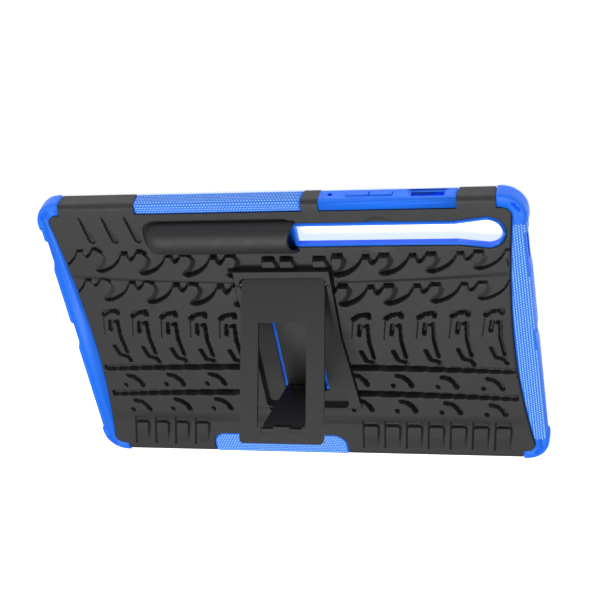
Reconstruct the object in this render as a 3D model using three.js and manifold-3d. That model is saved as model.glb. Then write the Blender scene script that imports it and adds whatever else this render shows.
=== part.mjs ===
// Rugged two-layer case for a thin tablet: a soft tray, a hard outer shell with a tyre-tread back,
// a pen sleeve and a fold-out kickstand with a strut.
// Millimetres. The case lies on its front lip: +X along its length, +Y towards the key edge,
// +Z out of its back. The origin is the middle of the footprint, on the plane of the front lip.
// The kickstand stands open at its stop.

import * as THREE from 'three';
import { mergeVertices } from 'three/addons/utils/BufferGeometryUtils.js';
import Module from 'manifold-3d';

const wasm = await Module();
wasm.setup();

// ---------------------------------------------------------------- driving dimensions

// The tablet that the tray holds.
const TABLET_LENGTH = 254.3;
const TABLET_WIDTH = 165.8;
const TABLET_THICKNESS = 6.5;
const TABLET_CORNER = 9;
const TABLET_SIDE_GAP = 0.3;
const TABLET_FACE_GAP = 0.2;

// Tray walls.
const SIDE_WALL = 3.55;
const EDGE_WALL = 4.0;
const FRONT_LIP = 1.0;
const LIP_OVER_GLASS = 3.0;
const TRAY_BACK = 1.0;
const SHOULDER_RISE = 0.3;
const OUTER_ROUND = 2.2;
const BUMPER_STEP = 1.0;
const BUMPER_LENGTH = 14.6;
const BUMPER_WIDTH = 15.5;
const CORD_SLOT_LENGTH = 6;
const CORD_SLOT_WIDTH = 1.8;
const CORD_SLOT_DEPTH = 2.5;
const CORD_SLOT_REACH = 10.4;
const CORD_SLOT_TURN = 38;

// Outer shell.
const LAYER_GAP = 0.3;
const SHELL_FLOOR = 1.5;
const RECESS_FLOOR = 0.9;
const GROUND_RISE = 0.9;
const CROWN_EDGE_RISE = 0.7;
const CROWN_RISE = 3.4;
const CROWN_SHRINK = 12;
const WAIST_INSET = 12.3;
const WAIST_FLARE = 6.4;
const WAIST_CENTRE = -8;
const SHELL_CORNER = 6;
const SHELL_END_INSET = 6.1;
const SKIRT = 1.5;
const SKIRT_LIFT = 0.5;
const TREAD_TOP_INSET = 33.5;
const TREAD_BOTTOM_INSET = 27.2;

// Edge tabs of the shell, measured in from the two ends of the case, and the grip between them.
const CORNER_TAB_END = 14;
const TAB_LEFT_INSET = 57;
const TAB_RIGHT_INSET = 33.5;
const BRIDGE_LENGTH = 8.9;
const BRIDGE_TO_KEYS = 14.5;
const GRIP_LEFT_INSET = 68.6;
const GRIP_LENGTH = 79.7;
const GRIP_DEPTH = 14.7;
const GRIP_CORNER = 8;

// Pen sleeve, pen slot and camera opening.
const PEN_INSET = 21.0;
const SLEEVE_RADIUS = 9.6;
const SLEEVE_WALL = 1.5;
const SLEEVE_INSET = 60;
const SLEEVE_TO_BRIDGE = 5;
const SLOT_HALF_WIDTH = 7.3;
const SLOT_END_INSET = 10.4;
const CAMERA_RADIUS = 9.4;
const CAMERA_FLARE = 15.6;
const RIM_WALL = 1.4;
const RIM_RISE = 0.6;
const DISH_INSET = 75.2;
const DISH_RADIUS = 11;
const DISH_DEPTH = 0.6;

// Kickstand recess in the shell.
const STAND_X = 0.2;
const RECESS_TOP = 41.1;
const RECESS_HALF_WIDTH = 23.5;
const RECESS_DEPTH = 5.0;
const RECESS_CORNER = 3;
const FRAME_BORDER = 3.1;
const FRAME_TOP_BORDER = 4.8;
const FRAME_FLARE = 4.2;

// Stand plate.
const OPEN_ANGLE = 40;
const PLATE_THICKNESS = 2.2;
const PLATE_REACH = 84.2;
const PLATE_HEEL = 2.7;
const PLATE_SIDE_GAP = 0.5;
const PLATE_CORNER = 2.2;
const PLATE_FLUSH_DROP = 0.1;
const HINGE_SET_BACK = 4.7;
const BARREL_RADIUS = 1.7;
const WINDOW_HALF_WIDTH = 13.3;
const WINDOW_TOP = 20.5;
const WINDOW_TO_FOOT = 8.7;
const NOTCH_INNER = 4.4;
const NOTCH_OUTER = 11.2;
const NOTCH_DEPTH = 3.2;
const CATCH_TO_FOOT = 7.2;
const CATCH_RADIUS = 0.75;

// Stand strut.
const STRUT_THICKNESS = 1.8;
const STRUT_HALF_WIDTH = 11.7;
const STRUT_FOOT_INSET = 11.3;
const KNUCKLE_RADIUS = 1.6;
const LUG_START = 4.0;
const LUG_END = 7.5;
const FINGER_LENGTH = 3.0;
const TIP_GAP = 0.95;
const TRACK_WIDTH = 2.0;
const TRACK_LENGTH = 62;

// Pins and running gaps.
const PIN_RADIUS = 0.7;
const PIN_BORE = 1.0;
const PIN_IN_WALL = 2.2;
const RUNNING_GAP = 0.3;

// Openings and keys in the tray's walls, on a line a little above the tablet's middle.
const KEY_LINE_RISE = 1.0;
const KEY_INSET = 90.4;
const KEY_LENGTH = 11.6;
const KEY_PITCH = 12.2;
const KEY_HEIGHT = 3.4;
const KEY_PROUD = 0.6;
const KEY_DEPTH = 2.6;
const POWER_INSET = 48.8;
const POWER_LENGTH = 17;
const POWER_HEIGHT = 4.6;
const POWER_DISH_LENGTH = 23.4;
const POWER_DISH_DEPTH = 1.2;
const MIC_RADIUS = 1.3;
const MIC_LEFT = -36;
const MIC_TO_KEYS = 8.6;
const SPEAKER_INSET = 23.2;
const LEFT_SPEAKER_LENGTH = 14;
const RIGHT_SPEAKER_LENGTH = 18;
const PORT_CUTOUT = [-5, 8];
const PIN_CUTOUT = [-2, 3];
const LEFT_CUTOUT_DISH = 2.4;
const RIGHT_CUTOUT_DISH = 0.8;
const CUTOUT_RAMP_ABOVE = 0.8;
const CUTOUT_RAMP_BELOW = 7;
const CUTOUT_HEIGHT = 4.6;

// Tread pattern of the shell's back.
const LONG_GROOVES = [-25.8, -44.4];
const LONG_GROOVE_WIDTH = 3.4;
const BAR_PITCH = 12.4;
const BAR_WIDTH = 7.6;
const BAR_LENGTH = 21;
const BAR_INSET = 21;
const SLOT_PITCH = 24.7;
const SLOT_ROW_GAP = 18.4;
const CRESCENT_RADIUS = 15;
const CRESCENT_WIDTH = 2.6;

// ---------------------------------------------------------------- derived places

const halfLength = TABLET_LENGTH / 2 + TABLET_SIDE_GAP + SIDE_WALL;
const halfWidth = TABLET_WIDTH / 2 + TABLET_SIDE_GAP + EDGE_WALL;
const pocketTop = FRONT_LIP + TABLET_THICKNESS + TABLET_FACE_GAP;
const trayTop = pocketTop + TRAY_BACK;
const shellUnder = trayTop + LAYER_GAP;
const grooveFloor = shellUnder + SHELL_FLOOR;
const recessFloor = shellUnder + RECESS_FLOOR;
const ground = grooveFloor + GROUND_RISE;
const shoulder = grooveFloor + SHOULDER_RISE;
const frameTop = recessFloor + RECESS_DEPTH;
const outerCorner = TABLET_CORNER + SIDE_WALL;
const keyStart = halfLength - KEY_INSET;
const powerCentre = halfLength - POWER_INSET;
const bridgeEnd = keyStart - BRIDGE_TO_KEYS;
const bridgeStart = bridgeEnd - BRIDGE_LENGTH;
const sleeveLeft = SLEEVE_INSET - halfLength;
const sleeveRight = bridgeStart - SLEEVE_TO_BRIDGE;
const gripLeft = GRIP_LEFT_INSET - halfLength;
const gripRight = gripLeft + GRIP_LENGTH;
const micPlaces = [MIC_LEFT, keyStart - MIC_TO_KEYS];
const speakerTop = halfWidth - SPEAKER_INSET;
const leftCutouts = [[speakerTop - LEFT_SPEAKER_LENGTH, speakerTop], PORT_CUTOUT];
const rightCutouts = [[speakerTop - RIGHT_SPEAKER_LENGTH, speakerTop], PIN_CUTOUT];
const penY = halfWidth - PEN_INSET;
const penZ = grooveFloor;
const slotEnd = halfLength - SLOT_END_INSET;
const dishX = halfLength - DISH_INSET;
const cameraX = slotEnd - CAMERA_RADIUS;
const keyLineZ = FRONT_LIP + TABLET_THICKNESS / 2 + KEY_LINE_RISE;
const shellEdgeY = halfWidth - SHELL_END_INSET;
const tabReach = halfLength - CORNER_TAB_END;
const treadTop = halfWidth - TREAD_TOP_INSET;
const treadBottom = TREAD_BOTTOM_INSET - halfWidth;

const hingeY = RECESS_TOP - HINGE_SET_BACK;
const hingeZ = frameTop - PLATE_FLUSH_DROP - BARREL_RADIUS;
const plateHalfWidth = RECESS_HALF_WIDTH - PLATE_SIDE_GAP;
const recessBottom = hingeY - PLATE_REACH - RUNNING_GAP;
const strutY = recessBottom + STRUT_FOOT_INSET;
const strutZ = recessFloor + RUNNING_GAP + KNUCKLE_RADIUS;
const plateMid = BARREL_RADIUS - PLATE_THICKNESS / 2;
const windowBottom = PLATE_REACH - WINDOW_TO_FOOT;
const catchReach = PLATE_REACH - CATCH_TO_FOOT;
const openAngle = THREE.MathUtils.degToRad(OPEN_ANGLE);
const catchY = hingeY - catchReach * Math.cos(openAngle) + plateMid * Math.sin(openAngle);
const catchZ = hingeZ + catchReach * Math.sin(openAngle) + plateMid * Math.cos(openAngle);
const strutLength = Math.hypot(catchY - strutY, catchZ - strutZ);
const strutAngle = Math.atan2(catchZ - strutZ, catchY - strutY);
const strutTip = strutLength - CATCH_RADIUS - TIP_GAP;

// ---------------------------------------------------------------- geometry helpers

function solid(geometry) {
  const bare = geometry.clone();
  bare.deleteAttribute('normal');
  bare.deleteAttribute('uv');
  const merged = mergeVertices(bare, 1e-5);
  const mesh = new wasm.Mesh({
    numProp: 3,
    vertProperties: new Float32Array(merged.attributes.position.array),
    triVerts: new Uint32Array(merged.index.array),
  });
  return new wasm.Manifold(mesh);
}

function geometryOf(body) {
  const mesh = body.getMesh();
  const geometry = new THREE.BufferGeometry();
  geometry.setAttribute('position', new THREE.BufferAttribute(new Float32Array(mesh.vertProperties), 3));
  geometry.setIndex(new THREE.BufferAttribute(new Uint32Array(mesh.triVerts), 1));
  return geometry;
}

function extrusion(shape, depth, segments = 8) {
  return new THREE.ExtrudeGeometry(shape, { depth, bevelEnabled: false, curveSegments: segments });
}

// A flat outline in X and Y, raised from one height to another.
function slab(shape, low, high, segments = 8) {
  return solid(extrusion(shape, high - low, segments).translate(0, 0, low));
}

// A slab whose top and bottom edges are rounded.
function roundedSlab(shape, low, high, round, segments = 8) {
  const geometry = new THREE.ExtrudeGeometry(shape, {
    depth: high - low - 2 * round,
    bevelThickness: round,
    bevelSize: round,
    bevelOffset: -round,
    bevelSegments: 3,
    curveSegments: segments,
  });
  return solid(geometry.translate(0, 0, low + round));
}

// An outline drawn in Y and Z, carried along X.
function alongX(shape, start, end, segments = 8) {
  const geometry = extrusion(shape, end - start, segments);
  geometry.applyMatrix4(new THREE.Matrix4().set(0, 0, 1, 0, 1, 0, 0, 0, 0, 1, 0, 0, 0, 0, 0, 1));
  return solid(geometry.translate(start, 0, 0));
}

function block(x0, x1, y0, y1, z0, z1) {
  const geometry = new THREE.BoxGeometry(x1 - x0, y1 - y0, z1 - z0);
  return solid(geometry.translate((x0 + x1) / 2, (y0 + y1) / 2, (z0 + z1) / 2));
}

function rodAlongX(x0, x1, y, z, radius, sides = 20) {
  const geometry = new THREE.CylinderGeometry(radius, radius, x1 - x0, sides);
  return solid(geometry.rotateZ(Math.PI / 2).translate((x0 + x1) / 2, y, z));
}

function rodAlongY(x, y0, y1, z, radius, sides = 16) {
  const geometry = new THREE.CylinderGeometry(radius, radius, y1 - y0, sides);
  return solid(geometry.translate(x, (y0 + y1) / 2, z));
}

function roundedRectangle(x0, x1, y0, y1, radius) {
  const shape = new THREE.Shape();
  shape.moveTo(x0 + radius, y0);
  shape.lineTo(x1 - radius, y0);
  shape.absarc(x1 - radius, y0 + radius, radius, -Math.PI / 2, 0);
  shape.lineTo(x1, y1 - radius);
  shape.absarc(x1 - radius, y1 - radius, radius, 0, Math.PI / 2);
  shape.lineTo(x0 + radius, y1);
  shape.absarc(x0 + radius, y1 - radius, radius, Math.PI / 2, Math.PI);
  shape.lineTo(x0, y0 + radius);
  shape.absarc(x0 + radius, y0 + radius, radius, Math.PI, 1.5 * Math.PI);
  return shape;
}

function polygon(points) {
  return new THREE.Shape(points.map(([x, y]) => new THREE.Vector2(x, y)));
}

function joined(bodies) {
  return bodies.reduce((sum, body) => sum.add(body));
}

function mesh(name, body, material) {
  const piece = new THREE.Mesh(geometryOf(body), material);
  piece.name = name;
  return piece;
}

// ---------------------------------------------------------------- materials

const softBlue = new THREE.MeshStandardMaterial({ color: 0x4285ff, roughness: 0.55, metalness: 0 });
const hardGrey = new THREE.MeshStandardMaterial({ color: 0x3d3d3d, roughness: 0.6, metalness: 0 });
const steel = new THREE.MeshStandardMaterial({ color: 0x9a9a9a, roughness: 0.35, metalness: 1 });

// ---------------------------------------------------------------- outlines shared by the two layers

// Half the shell's length at a height y: narrow at its waist and wide at its corners.
function waist(y) {
  const above = y > WAIST_CENTRE;
  const span = above ? shellEdgeY - WAIST_CENTRE : WAIST_CENTRE + shellEdgeY;
  const share = Math.min(Math.abs(y - WAIST_CENTRE) / span, 1);
  return halfLength - WAIST_INSET + WAIST_FLARE * Math.pow(share, 1.9);
}

// The shell's back without its edge tabs, grown outwards by a gap.
function shellOutline(grow) {
  const right = [];
  const steps = 24;
  const straight = shellEdgeY - SHELL_CORNER;
  for (let i = 0; i <= steps; i += 1) {
    const y = -straight + (2 * straight * i) / steps;
    right.push([waist(y) + grow, y]);
  }
  const shape = new THREE.Shape();
  const end = waist(straight) + grow;
  const radius = SHELL_CORNER + grow;
  shape.moveTo(-(end - radius), -straight - radius);
  shape.lineTo(end - radius, -straight - radius);
  shape.absarc(end - radius, -straight, radius, -Math.PI / 2, 0);
  right.slice(1).forEach(([x, y]) => shape.lineTo(x, y));
  shape.absarc(end - radius, straight, radius, 0, Math.PI / 2);
  shape.lineTo(-(end - radius), straight + radius);
  shape.absarc(-(end - radius), straight, radius, Math.PI / 2, Math.PI);
  right.slice(0, -1).reverse().forEach(([x, y]) => shape.lineTo(-x, y));
  shape.absarc(-(end - radius), -straight, radius, Math.PI, 1.5 * Math.PI);
  return shape;
}

// The stretches of X where the shell wraps over the key edge and over the opposite edge.
const keyEdgeTabs = [
  [-tabReach, TAB_LEFT_INSET - halfLength],
  [bridgeStart, bridgeEnd],
  [halfLength - TAB_RIGHT_INSET, tabReach],
];
const gripEdgeTabs = [[-tabReach, gripLeft], [gripRight, tabReach]];

// The soft grip that shows through the shell's grip edge.
function gripOutline(shrink) {
  return roundedRectangle(
    gripLeft + shrink, gripRight - shrink,
    -halfWidth - GRIP_CORNER * 2, -halfWidth + GRIP_DEPTH - shrink, GRIP_CORNER,
  );
}

function tabSpace(grow, low, high, inner) {
  const above = keyEdgeTabs.map(([a, b]) => block(a - grow, b + grow, inner, halfWidth + 2, low, high));
  const below = gripEdgeTabs.map(([a, b]) => block(a - grow, b + grow, -halfWidth - 2, -inner, low, high));
  return joined([...above, ...below]);
}

// The pen slot with its wide camera end, as a flat outline.
function slotOutline(shrink) {
  const half = SLOT_HALF_WIDTH - shrink;
  const round = CAMERA_RADIUS - shrink;
  const shape = new THREE.Shape();
  const turn = Math.atan2(half, -CAMERA_FLARE) - Math.acos(round / Math.hypot(CAMERA_FLARE, half));
  const start = sleeveRight - 2 + shrink;
  shape.moveTo(start, penY - half);
  shape.lineTo(cameraX - CAMERA_FLARE, penY - half);
  shape.absarc(cameraX, penY, round, -turn, turn, false);
  shape.lineTo(cameraX - CAMERA_FLARE, penY + half);
  shape.lineTo(start, penY + half);
  return shape;
}

// ---------------------------------------------------------------- inner tray

function bumpers(low, high) {
  const outline = roundedRectangle(
    -halfLength - BUMPER_STEP, halfLength + BUMPER_STEP,
    -halfWidth - BUMPER_STEP, halfWidth + BUMPER_STEP, outerCorner + BUMPER_STEP,
  );
  const ring = roundedSlab(outline, low, high, OUTER_ROUND, 10);
  const corners = [[-1, -1], [-1, 1], [1, -1], [1, 1]].map(([sx, sy]) => {
    const xs = [sx * (halfLength - BUMPER_LENGTH), sx * (halfLength + 3)].sort((a, b) => a - b);
    const ys = [sy * (halfWidth - BUMPER_WIDTH), sy * (halfWidth + 3)].sort((a, b) => a - b);
    return block(xs[0], xs[1], ys[0], ys[1], low - 1, high + 1);
  });
  return ring.intersect(joined(corners));
}

// Blind oblong slots in the four corners, across the corner's diagonal, for a hand cord.
function cordSlots() {
  const along = CORD_SLOT_LENGTH / 2;
  const across = CORD_SLOT_WIDTH / 2;
  const outline = roundedRectangle(-across, across, -along, along, across * 0.95);
  const geometry = extrusion(outline, CORD_SLOT_DEPTH + 1, 6).translate(CORD_SLOT_REACH, 0, 0);
  const slots = [[-1, -1], [-1, 1], [1, -1], [1, 1]].map(([sx, sy]) => {
    const turn = THREE.MathUtils.degToRad(CORD_SLOT_TURN) * sx * sy + (sx < 0 ? Math.PI : 0);
    const placed = geometry.clone().rotateZ(turn);
    const x = sx * (halfLength - outerCorner);
    const y = sy * (halfWidth - outerCorner);
    return solid(placed.translate(x, y, shoulder - CORD_SLOT_DEPTH));
  });
  return joined(slots);
}

// A hole in an end wall, in a dish with a steep end above it and a long ramp below it.
function sideOpening(side, from, to, depth) {
  const face = side * halfLength;
  const outer = side * (halfLength + 2);
  const dish = side * (halfLength - depth);
  const inner = side * (halfLength - SIDE_WALL - 2);
  const below = from - CUTOUT_RAMP_BELOW;
  const above = to + CUTOUT_RAMP_ABOVE;
  const outline = [[outer, below], [outer, above], [face, above], [dish, to], [dish, from], [face, below]];
  const notch = polygon(side > 0 ? outline : outline.reverse());
  const xs = [inner, outer].sort((a, b) => a - b);
  const half = CUTOUT_HEIGHT / 2;
  const hole = block(xs[0], xs[1], from + 1, to - 1, keyLineZ - half, keyLineZ + half);
  return slab(notch, -1, shoulder + 2).add(hole);
}

function powerOpening() {
  const half = POWER_LENGTH / 2;
  const dish = POWER_DISH_LENGTH / 2;
  const surface = halfWidth - POWER_DISH_DEPTH;
  const hole = block(
    powerCentre - half, powerCentre + half, halfWidth - EDGE_WALL - 2, halfWidth + 2,
    keyLineZ - POWER_HEIGHT / 2, keyLineZ + POWER_HEIGHT / 2,
  );
  const outline = polygon([
    [powerCentre - dish, halfWidth + 0.01], [powerCentre - half, surface],
    [powerCentre + half, surface], [powerCentre + dish, halfWidth + 0.01],
    [powerCentre + dish, halfWidth + 2], [powerCentre - dish, halfWidth + 2],
  ]);
  return hole.add(slab(outline, FRONT_LIP, pocketTop + 0.5));
}

function keyPocket(index) {
  const start = keyStart + KEY_PITCH * index;
  return block(
    start - RUNNING_GAP, start + KEY_LENGTH + RUNNING_GAP, halfWidth - EDGE_WALL - 2, halfWidth + 2,
    keyLineZ - KEY_HEIGHT / 2 - RUNNING_GAP, keyLineZ + KEY_HEIGHT / 2 + RUNNING_GAP,
  );
}

function innerTray() {
  const outline = roundedRectangle(-halfLength, halfLength, -halfWidth, halfWidth, outerCorner);
  let body = roundedSlab(outline, 0, shoulder, OUTER_ROUND, 10).add(bumpers(0, shoulder));

  // The bed of the outer shell: its back, its edge tabs and their skirts.
  const bed = slab(shellOutline(LAYER_GAP), trayTop, shoulder + 2);
  const tabs = tabSpace(LAYER_GAP, trayTop, shoulder + 2, shellEdgeY - 1);
  const skirts = tabSpace(LAYER_GAP, -1, shoulder + 2, halfWidth - SKIRT - LAYER_GAP);
  const grip = slab(gripOutline(0), trayTop - 1, shoulder + 3);
  body = body.subtract(bed.add(tabs).subtract(grip)).subtract(skirts);

  // The tablet's pocket and the view of its glass.
  const halfTablet = TABLET_LENGTH / 2 + TABLET_SIDE_GAP;
  const halfTabletWidth = TABLET_WIDTH / 2 + TABLET_SIDE_GAP;
  const pocket = roundedRectangle(-halfTablet, halfTablet, -halfTabletWidth, halfTabletWidth, TABLET_CORNER);
  const glassX = TABLET_LENGTH / 2 - LIP_OVER_GLASS;
  const glassY = TABLET_WIDTH / 2 - LIP_OVER_GLASS;
  const glass = roundedRectangle(-glassX, glassX, -glassY, glassY, TABLET_CORNER - LIP_OVER_GLASS);
  body = body.subtract(slab(pocket, FRONT_LIP, pocketTop)).subtract(slab(glass, -1, FRONT_LIP + 1));

  // The raised rim round the pen slot, inside the shell's slot.
  body = body.add(slab(slotOutline(LAYER_GAP), trayTop - 0.5, grooveFloor + RIM_RISE, 16));
  body = body.subtract(slab(slotOutline(LAYER_GAP + RIM_WALL), pocketTop - 1, grooveFloor + 3, 16));

  micPlaces.forEach((x) => {
    body = body.subtract(rodAlongY(x, halfWidth - EDGE_WALL - 2, halfWidth + 2, keyLineZ, MIC_RADIUS));
  });
  leftCutouts.forEach(([from, to]) => {
    body = body.subtract(sideOpening(-1, from, to, LEFT_CUTOUT_DISH));
  });
  rightCutouts.forEach(([from, to]) => {
    body = body.subtract(sideOpening(1, from, to, RIGHT_CUTOUT_DISH));
  });
  return body.subtract(powerOpening()).subtract(keyPocket(0)).subtract(keyPocket(1)).subtract(cordSlots());
}

// ---------------------------------------------------------------- outer shell

// The crown of the tread, an arch across the case's length.
function crown() {
  const steps = 28;
  const reach = halfLength - CROWN_SHRINK;
  const top = [];
  for (let i = 0; i <= steps; i += 1) {
    const x = reach * 1.1 * (1 - (2 * i) / steps);
    const share = Math.min(Math.abs(x) / reach, 1);
    top.push([x, grooveFloor + CROWN_EDGE_RISE + CROWN_RISE * (1 - share * share)]);
  }
  const shape = polygon([[-reach * 1.1, shellUnder], [reach * 1.1, shellUnder], ...top]);
  const arch = extrusion(shape, treadTop - treadBottom).rotateX(Math.PI / 2);
  return solid(arch.translate(0, treadTop, 0));
}

function recessFrame() {
  const bottom = recessBottom - FRAME_BORDER * 0.4;
  const outer = RECESS_HALF_WIDTH + FRAME_BORDER;
  return slab(polygon([
    [STAND_X - outer, RECESS_TOP + FRAME_TOP_BORDER], [STAND_X - outer, 0],
    [STAND_X - outer - FRAME_FLARE, bottom], [STAND_X + outer + FRAME_FLARE, bottom],
    [STAND_X + outer, 0], [STAND_X + outer, RECESS_TOP + FRAME_TOP_BORDER],
  ]), shellUnder, frameTop);
}

function recess() {
  const half = RECESS_HALF_WIDTH;
  return slab(
    roundedRectangle(STAND_X - half, STAND_X + half, recessBottom, RECESS_TOP, RECESS_CORNER),
    recessFloor, frameTop + 5,
  );
}

function strutTracks() {
  const start = strutY - KNUCKLE_RADIUS * 2;
  const tracks = [-1, 1].map((side) => {
    const x = STAND_X + side * STRUT_HALF_WIDTH;
    const half = TRACK_WIDTH / 2;
    return slab(roundedRectangle(x - half, x + half, start, start + TRACK_LENGTH, half * 0.9),
      shellUnder - 1, recessFloor + 1, 4);
  });
  return joined(tracks);
}

function strutLugs() {
  const lugs = [-1, 1].map((side) => {
    const xs = [STAND_X + side * LUG_START, STAND_X + side * LUG_END].sort((a, b) => a - b);
    const eye = rodAlongX(xs[0], xs[1], strutY, strutZ, KNUCKLE_RADIUS);
    const near = strutY - KNUCKLE_RADIUS;
    const foot = block(xs[0], xs[1], near, near + 2 * KNUCKLE_RADIUS, recessFloor - 0.2, strutZ);
    return eye.add(foot);
  });
  const pinX = LUG_END + 1;
  return joined(lugs).subtract(rodAlongX(STAND_X - pinX, STAND_X + pinX, strutY, strutZ, PIN_BORE));
}

// A half-round tunnel with a domed closed end, standing on the shell's ground.
function sleeve(radius, left, right) {
  const profile = new THREE.Shape();
  profile.moveTo(penY + radius, shellUnder);
  profile.lineTo(penY + radius, penZ);
  profile.absarc(penY, penZ, radius, 0, Math.PI);
  profile.lineTo(penY - radius, shellUnder);
  const tunnel = alongX(profile, left + radius * 0.6, right, 14);
  const dome = new THREE.SphereGeometry(1, 24, 16).scale(radius * 0.6, radius, radius);
  const cap = solid(dome.translate(left + radius * 0.6, penY, penZ));
  const above = block(left - 5, right, penY - radius - 1, penY + radius + 1, shellUnder, penZ + radius + 1);
  return tunnel.add(cap.intersect(above));
}

function longGrooves() {
  const reach = halfLength - CROWN_SHRINK + 2;
  const frameEdge = STAND_X + RECESS_HALF_WIDTH + FRAME_BORDER + FRAME_FLARE;
  const grooves = LONG_GROOVES.flatMap((y) => [
    block(-reach, -frameEdge, y, y + LONG_GROOVE_WIDTH, grooveFloor, frameTop + 2),
    block(frameEdge, reach, y, y + LONG_GROOVE_WIDTH, grooveFloor, frameTop + 2),
  ]);
  return joined(grooves);
}

// Bars that rise out of the ground beside the tread, on both long edges.
function bars() {
  const pieces = [];
  const reach = halfLength - WAIST_INSET;
  for (let x = BAR_INSET - halfLength; x + BAR_WIDTH < reach; x += BAR_PITCH) {
    const clearOfStand = x + BAR_WIDTH < gripLeft - 2 || x > STAND_X + RECESS_HALF_WIDTH + FRAME_BORDER + 3;
    const inset = halfWidth - BAR_LENGTH - 4;
    if (clearOfStand) {
      pieces.push(roundedSlab(roundedRectangle(x, x + BAR_WIDTH, -inset - BAR_LENGTH, -inset, 1.5),
        shellUnder + 0.2, ground + 1.6, 0.8, 3));
    }
    if (x + BAR_WIDTH < sleeveLeft - 1) {
      pieces.push(roundedSlab(roundedRectangle(x, x + BAR_WIDTH, inset, inset + BAR_LENGTH - 3, 1.5),
        shellUnder + 0.2, ground + 1.6, 0.8, 3));
    }
  }
  return joined(pieces);
}

// Rows of crescents and slanted slots cut into the tread down to the groove floor.
function treadCuts() {
  const cuts = [];
  const reach = halfLength - CROWN_SHRINK - 8;
  const frameEdge = RECESS_HALF_WIDTH + FRAME_BORDER + 3;
  for (let x = -reach; x + 12 < reach; x += SLOT_PITCH) {
    const besideFrame = x + 14 < STAND_X - frameEdge - 2 || x > STAND_X + frameEdge;
    if (!besideFrame) {
      continue;
    }
    for (let row = 0; row < 2; row += 1) {
      const top = treadTop - 6 - row * SLOT_ROW_GAP;
      const bow = new THREE.Shape();
      bow.absarc(x, top, CRESCENT_RADIUS, -0.45 * Math.PI, -0.12 * Math.PI, false);
      bow.absarc(x + 0.6, top + 1, CRESCENT_RADIUS - CRESCENT_WIDTH, -0.12 * Math.PI, -0.45 * Math.PI, true);
      cuts.push(slab(bow, grooveFloor, frameTop + 2, 5));
      const slotY = LONG_GROOVES[0] - 4.4 - row * SLOT_ROW_GAP;
      const slant = [[x + 6.5, slotY - 8], [x + 8.5, slotY - 7.5], [x + 2, slotY], [x, slotY]];
      cuts.push(slab(polygon(slant), grooveFloor, frameTop + 2));
    }
  }
  return joined(cuts);
}

function shellTabs() {
  const outline = roundedRectangle(-halfLength, halfLength, -halfWidth, halfWidth, outerCorner);
  const envelope = roundedSlab(outline, SKIRT_LIFT, ground, OUTER_ROUND * 0.8, 4);
  const hollow = block(
    -halfLength, halfLength, -(halfWidth - SKIRT), halfWidth - SKIRT, -1, shellUnder,
  );
  const region = tabSpace(0, 0, ground + 1, shellEdgeY - 4);
  const bite = slab(gripOutline(-LAYER_GAP), -1, ground + 2);
  return envelope.subtract(hollow).intersect(region).subtract(bite);
}

function outerShell() {
  const outline = shellOutline(0);
  const base = slab(outline, shellUnder, ground).add(crown().intersect(slab(outline, 0, frameTop + 5)));
  const bite = slab(gripOutline(-LAYER_GAP), -1, frameTop + 5);
  let body = base.subtract(treadCuts()).subtract(longGrooves()).add(bars()).subtract(bite).add(shellTabs());
  body = body.add(recessFrame()).add(sleeve(SLEEVE_RADIUS, sleeveLeft, sleeveRight));
  const bore = sleeve(SLEEVE_RADIUS - SLEEVE_WALL, sleeveLeft + SLEEVE_WALL, sleeveRight + 3);
  body = body.subtract(bore).subtract(block(
    sleeveLeft + SLEEVE_RADIUS, sleeveRight + 1, penY - SLEEVE_RADIUS + SLEEVE_WALL,
    penY + SLEEVE_RADIUS - SLEEVE_WALL, shellUnder - 1, shellUnder + 1,
  ));
  body = body.subtract(slab(slotOutline(0), shellUnder - 1, frameTop + 5, 16));
  const dish = new THREE.SphereGeometry(1, 32, 16).scale(DISH_RADIUS, DISH_RADIUS, DISH_DEPTH);
  body = body.subtract(solid(dish.translate(dishX, penY, ground)));
  body = body.subtract(recess()).subtract(strutTracks()).add(strutLugs());
  const pinReach = RECESS_HALF_WIDTH + PIN_IN_WALL + RUNNING_GAP;
  return body.subtract(rodAlongX(STAND_X - pinReach, STAND_X + pinReach, hingeY, hingeZ, PIN_BORE));
}

// ---------------------------------------------------------------- kickstand

// The plate is drawn flat, with its hinge axis on the X axis and its foot towards -Y, then opened.
function standPlate() {
  const front = BARREL_RADIUS;
  const back = front - PLATE_THICKNESS;
  const half = plateHalfWidth;
  const outline = roundedRectangle(-half, half, -PLATE_REACH, PLATE_HEEL, PLATE_CORNER);
  let body = slab(outline, back, front);
  body = body.add(rodAlongX(-half, half, 0, 0, BARREL_RADIUS));
  body = body.subtract(rodAlongX(-half - 1, half + 1, 0, 0, PIN_BORE));
  body = body.subtract(block(
    -WINDOW_HALF_WIDTH, WINDOW_HALF_WIDTH, -windowBottom, -WINDOW_TOP, back - 1, front + 1,
  ));
  [-1, 1].forEach((side) => {
    const xs = [side * NOTCH_INNER, side * NOTCH_OUTER].sort((a, b) => a - b);
    body = body.subtract(block(
      xs[0], xs[1], -windowBottom - NOTCH_DEPTH, -windowBottom + 1, back - 1, front + 1,
    ));
  });
  return body.add(rodAlongX(-NOTCH_OUTER - 1, NOTCH_OUTER + 1, -catchReach, plateMid, CATCH_RADIUS, 14));
}

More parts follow.
